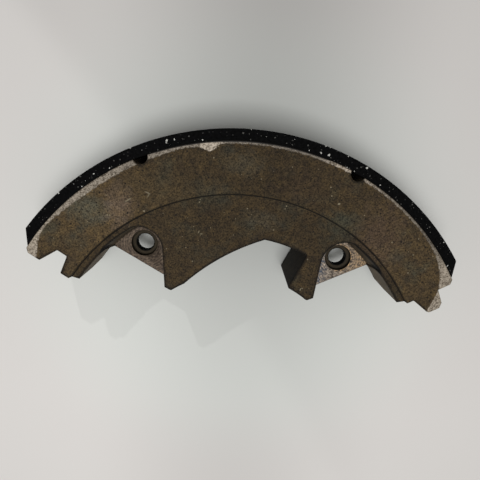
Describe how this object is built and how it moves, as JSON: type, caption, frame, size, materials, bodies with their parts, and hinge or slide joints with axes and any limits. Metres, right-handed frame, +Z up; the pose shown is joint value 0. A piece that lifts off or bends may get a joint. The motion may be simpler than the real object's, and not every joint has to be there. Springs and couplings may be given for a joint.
{
  "type": "clutch shoe",
  "caption": "Cast iron clutch shoe with a bonded friction lining, stepped web, gusset legs, counterbored lugs and a notch and tongue at its ends.",
  "frame": {"origin": "centre of the base of the bounding box, with the shoe lying on one side face", "axes": "+Z up along the drum axis, +Y along the shoe's mid-line towards the lining, +X towards the end with the tongue"},
  "size_m": [0.2502, 0.0984, 0.0508],
  "materials": {
    "casting": "as-cast iron with a dull bronze-brown oxide coat, bare metal beside the lining and on the lugs",
    "lining": "moulded black friction compound with pale flecks"
  },
  "bodies": {
    "root": {"shoe_casting": "casting", "friction_lining": "lining"}
  },
  "joints": []
}
